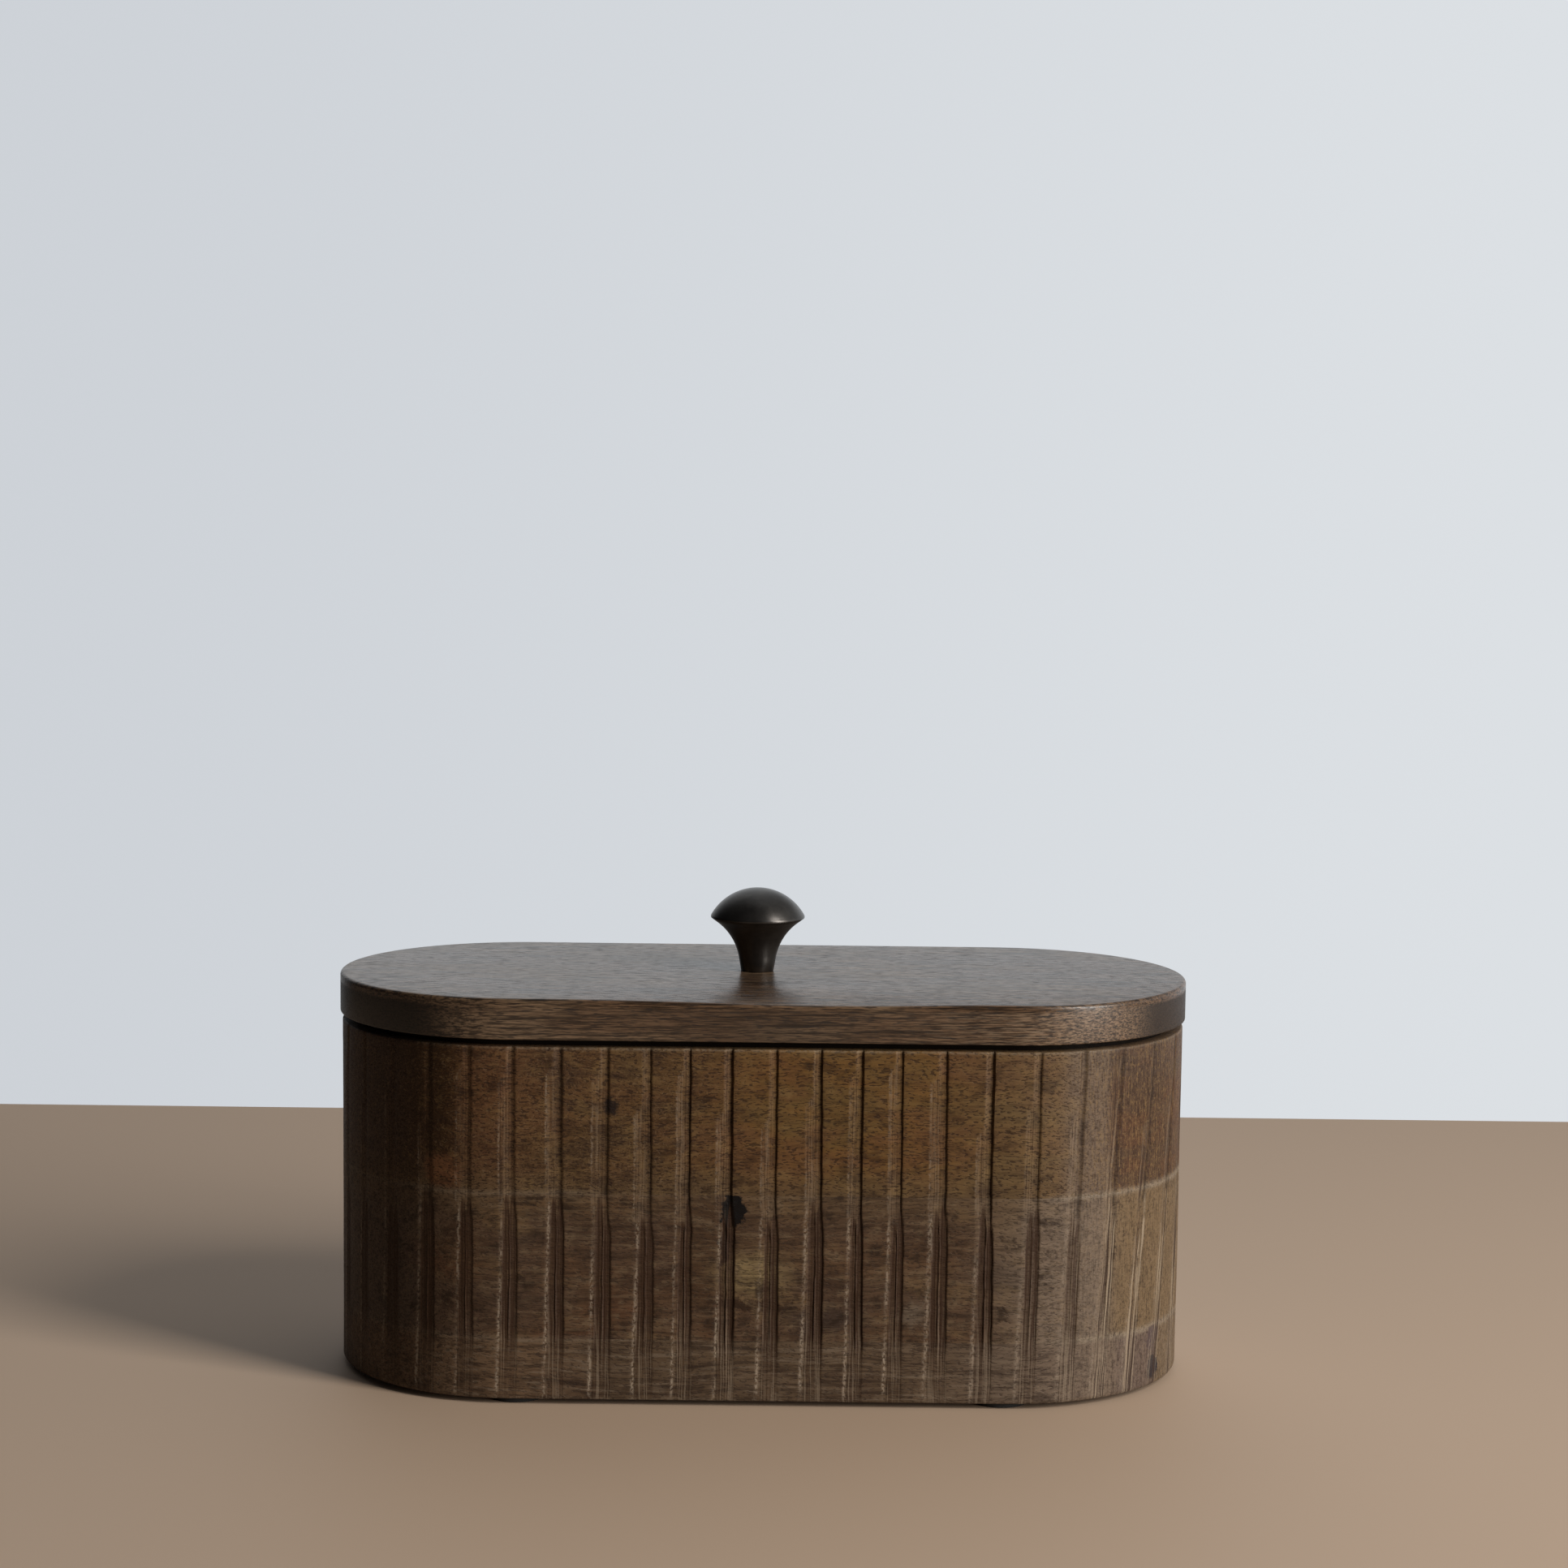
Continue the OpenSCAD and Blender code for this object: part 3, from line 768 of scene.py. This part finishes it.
def upper_ring_wood():
    """Upper ring: ochre, olive and red-brown patches, with curly dotted grain to the left.

    Its left end is dark, partly a reddish-dark tone of the wood and partly painted shade, and its right end is
    browner.
    """
    wood = Finish("upper_wood", {"IOR": 1.32})
    grain = board_grain(wood, (3.1, 0.4, 7.7))
    curls = wood.noise(grain.place, (14 * MM, 14 * MM, 14 * MM), (2.2, 0.8, 1.4), 3.0, 0.6, "Color")
    curly = wood.pushed(grain.place, curls, (0.03, 0.03, 0.03))
    dots = wood.noise(curly, (1.8 * MM, 0.6 * MM, 0.6 * MM), (0.7, 0.2, 0.5), 2.0, 0.6)
    left = grain.x.rise(10 * MM, -30 * MM)
    far_right = grain.x.rise(101 * MM, 106 * MM)
    by_joint = grain.z.rise(upper_low.z + 12 * MM, upper_low.z) * grain.x.rise(92 * MM, 70 * MM)
    ochre, olive = (0.186, 0.090, 0.025), (0.150, 0.085, 0.028)
    colour = wood.layered(ochre, [
        (grain.patches.rise(0.42, 0.60), olive),
        (grain.patches.rise(0.50, 0.40) * 0.6, (0.138, 0.062, 0.027)),
        (grain.figure.rise(0.50, 0.64) * 0.6, (0.152, 0.070, 0.028)),
        # darker to the left: a reddish-dark tone of the wood, and painted shade for the light falling off
        # towards the left
        (left * 0.6, (0.098, 0.051, 0.024)),
        (left * grain.figure.rise(0.50, 0.42) * 0.5, (0.055, 0.032, 0.018)),
        (grain.x.rise(-56 * MM, -82 * MM) * 0.5, (0.150, 0.062, 0.028)),
        # painted shade: near black where the left end turns away from the light
        (grain.x.rise(-84 * MM, -94 * MM) * 0.9, (0.038, 0.016, 0.004)),
        (grain.x.rise(-99 * MM, -112 * MM) * 0.85, (0.086, 0.051, 0.034)),
        (grain.x.rise(44 * MM, 80 * MM) * 0.45, (0.165, 0.110, 0.060)),
        (grain.x.rise(86 * MM, 93 * MM) * 0.75, (0.150, 0.104, 0.072)),
        (far_right * 0.9, (0.074, 0.037, 0.018)),
        (far_right * grain.figure.rise(0.46, 0.60) * 0.7, (0.110, 0.047, 0.020)),
        (far_right * grain.z.rise(88 * MM, 106 * MM) * 0.5, (0.090, 0.064, 0.049)),
        (by_joint * 0.75, (0.122, 0.075, 0.036)),
        (dots.rise(0.56, 0.66) * left * 0.6, (0.022, 0.011, 0.006)),
        (dots.rise(0.45, 0.34) * left * 0.45, (0.235, 0.150, 0.080)),
    ])
    knot = ((-44, -56, 90), (2.2, 20, 2.2), (0.018, 0.010, 0.007), (0.15, 0.75))
    warm = ((-93, -49, 69), (6, 20, 6), (0.185, 0.080, 0.034), (0.2, 0.7))
    colour = spotted(wood, grain, colour, [warm])
    colour = glue_line(wood, grain, colour, upper_low.z)
    tones = (0.024, 0.010, 0.004), (0.240, 0.145, 0.056)
    return carved_finish(wood, grain, colour, tones, (0.55, 0.2, 0.7), [knot])


def middle_ring_wood():
    """Middle ring: grey-brown with tan streaks, a knot, a yellow patch and an olive-tan right end."""
    wood = Finish("middle_wood", {"IOR": 1.32})
    grain = board_grain(wood, (8.4, 2.2, 1.3))
    reddish = grain.patches.rise(0.50, 0.38) * grain.x.rise(10 * MM, -30 * MM)
    by_joint = grain.z.rise(middle_high.z - 12 * MM, middle_high.z) * grain.x.rise(92 * MM, 70 * MM)
    brown, grey_brown = (0.117, 0.063, 0.032), (0.099, 0.057, 0.034)
    colour = wood.layered(brown, [
        (grain.patches.rise(0.42, 0.62), grey_brown),
        (grain.figure.rise(0.53, 0.63) * 0.7, (0.170, 0.102, 0.049)),
        (grain.figure.rise(0.47, 0.37) * 0.75, (0.060, 0.031, 0.017)),
        (reddish * 0.7, (0.122, 0.055, 0.027)),
        (grain.x.rise(56 * MM, 84 * MM) * 0.6, (0.245, 0.184, 0.132)),
        (grain.x.rise(100 * MM, 108 * MM) * 0.85, (0.180, 0.113, 0.053)),
        (grain.x.rise(-92 * MM, -108 * MM) * 0.8, (0.118, 0.082, 0.058)),
        (by_joint * 0.6, (0.140, 0.083, 0.039)),
    ])
    yellow = ((-2, -56, 40), (12, 20, 7), (0.250, 0.172, 0.080), (0.1, 0.9))
    streak = ((-3, -56, 31), (14, 20, 1.3), (0.050, 0.025, 0.012), (0.15, 0.6))
    shade = ((20, -56, 27), (16, 20, 5), (0.060, 0.036, 0.024), (0.2, 0.9))
    knot = ((-8, -56, 59), (3.4, 20, 6.2), (0.002, 0.001, 0.001), (0.30, 0.42))
    tail = ((-10, -56, 50), (1.5, 20, 7.0), (0.006, 0.004, 0.003), (0.32, 0.5))
    round_knot = ((-14, -56, 54), (14, 20, 14), (0.080, 0.042, 0.021), (0.2, 1.0))
    scuff = ((45, -56, 28), (6, 20, 5), (0.175, 0.126, 0.086), (0.2, 1.0))
    dull = ((-18, -56, 37), (9, 20, 9), (0.080, 0.041, 0.020), (0.2, 0.9))
    colour = spotted(wood, grain, colour, [round_knot, dull, yellow, streak, shade, scuff])
    colour = glue_line(wood, grain, colour, middle_high.z)
    colour = glue_line(wood, grain, colour, middle_low.z)
    tones = (0.028, 0.015, 0.008), (0.195, 0.130, 0.074)
    return carved_finish(wood, grain, colour, tones, (0.85, 0.35, 0.5), [knot, tail])


def base_board_wood():
    """Base board: grey-brown. Its right end has a purple-brown stretch, a blue-black stain and a tan corner."""
    wood = Finish("base_wood", {"IOR": 1.32})
    grain = board_grain(wood, (1.9, 6.1, 4.2))
    corner = grain.x.rise(110 * MM, 112 * MM) * grain.y.rise(-31.5 * MM, -30.5 * MM)
    grey_brown, pale_brown = (0.118, 0.074, 0.042), (0.140, 0.090, 0.054)
    colour = wood.layered(grey_brown, [
        (grain.patches.rise(0.42, 0.62), pale_brown),
        (grain.figure.rise(0.46, 0.34) * 0.6, (0.080, 0.047, 0.029)),
        (grain.x.rise(-40 * MM, -70 * MM) * 0.5, (0.185, 0.105, 0.055)),
        (grain.x.rise(48 * MM, 74 * MM) * 0.7, (0.190, 0.134, 0.095)),
        (grain.x.rise(104 * MM, 109 * MM) * 0.7, (0.126, 0.084, 0.068)),
        (corner * 0.85, (0.175, 0.116, 0.062)),
    ])
    stain = ((119.3, -32, 7), (3, 3, 4), (0.014, 0.013, 0.020), (0.25, 0.5))
    purple = ((119, -33, 16), (3, 4, 5), (0.075, 0.049, 0.046), (0.2, 0.7))
    colour = glue_line(wood, grain, colour, base_high.z)
    tones = (0.032, 0.018, 0.011), (0.205, 0.148, 0.100)
    return carved_finish(wood, grain, colour, tones, (0.45, 0.6, 0.5), [purple, stain])


def stained_grain(wood, shift):
    """Straight grain along the box: places, patches, dark streaks, fibres and short pores."""
    place = wood.place()
    waves = wood.noise(place, (90 * MM, 40 * MM, 30 * MM), shift, 2.0, 0.5, "Color")
    grain = wood.pushed(place, waves, (0.004, 0.004, 0.0015))
    return SimpleNamespace(
        x=wood.part(place, "X"),
        z=wood.part(place, "Z"),
        patches=wood.noise(place, (60 * MM, 26 * MM, 12 * MM), shift, 3.0, 0.55),
        streaks=wood.noise(grain, (22 * MM, 1.3 * MM, 0.6 * MM), shift, 4.0, 0.65),
        fibres=wood.noise(grain, (7 * MM, 0.5 * MM, 0.4 * MM), shift, 3.0, 0.65),
        pores=wood.noise(grain, (4 * MM, 0.45 * MM, 0.4 * MM), shift, 1.0, 0.5).rise(0.54, 0.64),
    )


def stained_colour(wood, grain, plain, light, dark):
    """Stained wood: two tones in patches, and a dark one in streaks, fibres and pores."""
    return wood.layered(plain, [
        (grain.patches.rise(0.4, 0.62), light),
        (grain.streaks.rise(0.47, 0.60) * 0.85, dark),
        (grain.fibres.rise(0.42, 0.64) * 0.6, dark),
        (grain.pores * 0.75, dark),
    ])


def stained_finish(wood, grain, colour, roughness):
    """Finish of a stained board: painted shade, near black, in the gap under the lid, with the grain's own
    roughness.
    """
    above_rim = grain.z.rise(upper_high.z - GAP_FADE, upper_high.z)
    under_lid = grain.z.rise(lid_low.z + GAP_FADE, lid_low.z)
    # painted shade: near black between the rim and the lid's underside, where the gap under the lid is
    colour = wood.mix(above_rim * under_lid, colour, PAINTED_GAP_SHADE)
    roughness = roughness + grain.pores * 0.15 + (grain.fibres - 0.5) * 0.12 + (grain.patches - 0.5) * 0.1
    return wood.done(colour, roughness, grain.fibres * 0.4 - grain.pores * 0.6, 0.025 * MM)


def lid_wood():
    """The lid: stained, and polished on top.

    Its side is darker at both ends and in the middle, and has paler streaks towards the right. At its left end
    the darkness is painted shade.
    """
    wood = Finish("lid_wood", {"IOR": 1.5})
    grain = stained_grain(wood, (2.7, 5.5, 0.6))
    plain, light, dark = (0.145, 0.082, 0.045), (0.215, 0.137, 0.080), (0.013, 0.007, 0.004)
    side = 1 - grain.z.rise(lid_high.z - 3.5 * MM, lid_high.z - 2.2 * MM)
    paler = (0.15 + grain.x.near(84 * MM, 32 * MM)) * grain.fibres.rise(0.56, 0.38)
    right_end = grain.x.rise(106 * MM, 118 * MM)
    left_end = grain.x.rise(-84 * MM, -104 * MM)
    darker = right_end * 0.9 + grain.x.near(2 * MM, 28 * MM) * 0.42
    colour = stained_colour(wood, grain, plain, light, dark)
    colour = wood.layered(colour, [
        (paler * side * 0.5, (0.330, 0.225, 0.140)),
        (darker * side, dark),
        # painted shade: near black on the side's left end, which faces away from the light
        (left_end * side * 0.9, (0.003, 0.002, 0.001)),
    ])
    return stained_finish(wood, grain, colour, 0.28 + side * (0.14 + 0.1 * right_end))


def inset_wood():
    """The board under the lid: the same stain, matt and a little paler."""
    wood = Finish("inset_wood", {"Specular IOR Level": 0.08})
    grain = stained_grain(wood, (6.3, 1.1, 3.8))
    plain, light, dark = (0.120, 0.074, 0.042), (0.150, 0.092, 0.052), (0.050, 0.028, 0.016)
    return stained_finish(wood, grain, stained_colour(wood, grain, plain, light, dark), 0.59)


def dark_bronze():
    """Dark oil-rubbed cast metal: near black with a faint brown mottle and a satin sheen."""
    metal = Finish("dark_bronze", {"Metallic": 0.9})
    place = metal.place()
    mottle = metal.noise(place, (5 * MM, 5 * MM, 5 * MM), (0, 0, 0), 4.0, 0.6)
    speckle = metal.noise(place, (0.5 * MM, 0.5 * MM, 0.5 * MM), (0, 0, 0), 2.0, 0.5)
    colour = metal.mix(mottle.rise(0.35, 0.7), (0.070, 0.065, 0.061), (0.096, 0.089, 0.082))
    roughness = 0.31 + (mottle - 0.5) * 0.08 + (speckle - 0.5) * 0.05
    return metal.done(colour, roughness, speckle, 0.008 * MM)


def plated_steel():
    """Zinc-plated steel with fine turning marks along the screw."""
    steel = Finish("plated_steel", {"Metallic": 1.0})
    brushed = steel.noise(steel.place(), (0.3 * MM, 0.3 * MM, 3 * MM), (0, 0, 0), 3.0, 0.6)
    colour = steel.mix(brushed, (0.42, 0.41, 0.39), (0.62, 0.61, 0.58))
    return steel.done(colour, 0.28 + brushed * 0.15)


def black_rubber():
    """Matt black rubber with a faint grey bloom."""
    rubber = Finish("black_rubber", {"IOR": 1.45})
    bloom = rubber.noise(rubber.place(), (4 * MM, 4 * MM, 4 * MM), (0, 0, 0), 4.0, 0.6)
    colour = rubber.mix(bloom, (0.010, 0.010, 0.010), (0.026, 0.025, 0.024))
    return rubber.done(colour, 0.75 + bloom * 0.15)


# Stage, light and camera

def make_stage():
    """A plain pale table top that ends a little way behind the box.

    It throws less light back than it shows to the camera and in mirrored rays.
    """
    thrown, shown = (0.25, 0.19, 0.14), (0.575, 0.420, 0.298)
    left, right, near, far = -2.0, 2.0, -2.0, 0.379
    finish = Finish("pale_table", {"Roughness": 0.7})
    rays = ("Is Camera Ray", "Is Glossy Ray", "Is Transmission Ray")
    seen = sum(finish.add("ShaderNodeLightPath", {}, {}, ray) for ray in rays)
    finish.feed("Principled BSDF", {"Base Color": finish.mix(seen, thrown, shown)})
    corners = [(left, near, 0), (right, near, 0), (right, far, 0), (left, far, 0)]
    mesh = bpy.data.meshes.new("table_top")
    mesh.from_pydata(corners, [], [(0, 1, 2, 3)])
    mesh.materials.append(finish.material)
    table_top = bpy.data.objects.new("table_top", mesh)
    bpy.context.scene.collection.objects.link(table_top)


def make_world():
    """A pale room: the wall behind is lightest, and the side to the left and front is dim.

    The camera sees the wall on every side. Mirrored rays see it behind the box, and the dim side in front.
    """
    bright, dim, high = (0.712, 0.742, 0.770), (0.016, 0.016, 0.017), (0.08, 0.08, 0.08)
    wall_left, wall_right = (0.61, 0.64, 0.68), (0.72, 0.75, 0.78)
    to_wall = (0.55, 0.75, 0.25)
    world = bpy.data.worlds.new("room")
    bpy.context.scene.world = world
    world.use_nodes = True
    room = Nodes(world.node_tree)
    way = room.add("ShaderNodeTexCoord", {}, {}, "Generated")
    right, up = room.part(way, "X"), room.part(way, "Z")
    wallward = room.add("ShaderNodeVectorMath", {"operation": "DOT_PRODUCT"}, {0: way, 1: to_wall}, "Value")
    light = room.mix(wallward.rise(0.05, 0.74), dim, bright)
    light = room.mix(up.rise(0.2, 0.6) * (0.1 + 0.65 * right.rise(0.0, 0.5)), light, high)
    wall = room.mix(right.rise(-0.3, 0.3), wall_left, wall_right)
    seen = room.add("ShaderNodeLightPath", {}, {}, "Is Camera Ray")
    room.feed("Background", {"Color": room.mix(seen, light, wall)})


def make_lamp():
    """An upright soft light to the right of the camera, which faces the box and isn't seen itself."""
    place, target = (1.260, -0.882, 1.0), (0, 0, 1.0)
    light = bpy.data.lights.new("soft_light", "AREA")
    light.shape = "RECTANGLE"
    light.size = 0.5
    light.size_y = 1.9
    light.energy = 38.0
    light.color = (1.0, 0.97, 0.93)
    lamp = bpy.data.objects.new("soft_light", light)
    away = np.array(place) - np.array(target)
    turned = Matrix.Rotation(math.atan2(away[0], -away[1]), 4, "Z")
    tipped = Matrix.Rotation(math.atan2(math.hypot(away[0], away[1]), away[2]), 4, "X")
    lamp.matrix_world = Matrix.Translation(place) @ turned @ tipped
    lamp.visible_camera = False
    bpy.context.scene.collection.objects.link(lamp)


def make_camera():
    """Camera at the photograph's place: in front of the box, tipped down a little and rolled slightly."""
    place, tip, roll = (5.7 * MM, -991 * MM, 278.5 * MM), 0.0996, 0.0115
    focal_pixels, frame_pixels, sensor = 4000, 1932, 36
    data = bpy.data.cameras.new("camera")
    data.sensor_width = sensor
    data.lens = sensor * focal_pixels / frame_pixels
    camera = bpy.data.objects.new("camera", data)
    turned = Matrix.Rotation(math.pi / 2 - tip, 4, "X") @ Matrix.Rotation(roll, 4, "Z")
    camera.matrix_world = Matrix.Translation(place) @ turned
    bpy.context.scene.collection.objects.link(camera)
    bpy.context.scene.camera = camera


# The box

routed_ring("upper_ring", upper_ring_wood(), MOUTH_EASE)
routed_ring("middle_ring", middle_ring_wood(), JOINT_EASE)
base_block(base_board_wood())
lid_slab(lid_wood())
lid_inset_board(inset_wood())
turned_knob(dark_bronze())
rubber = black_rubber()
for corner in ("front_left", "front_right", "back_left", "back_right"):
    round_pad("foot_" + corner, rubber)
steel = plated_steel()
for node in ("knob_screw", "knob_washer"):
    frame["nodes"][node].data.materials.clear()
    frame["nodes"][node].data.materials.append(steel)

make_stage()
make_world()
make_lamp()
make_camera()
bpy.context.scene.view_settings.view_transform = "Standard"
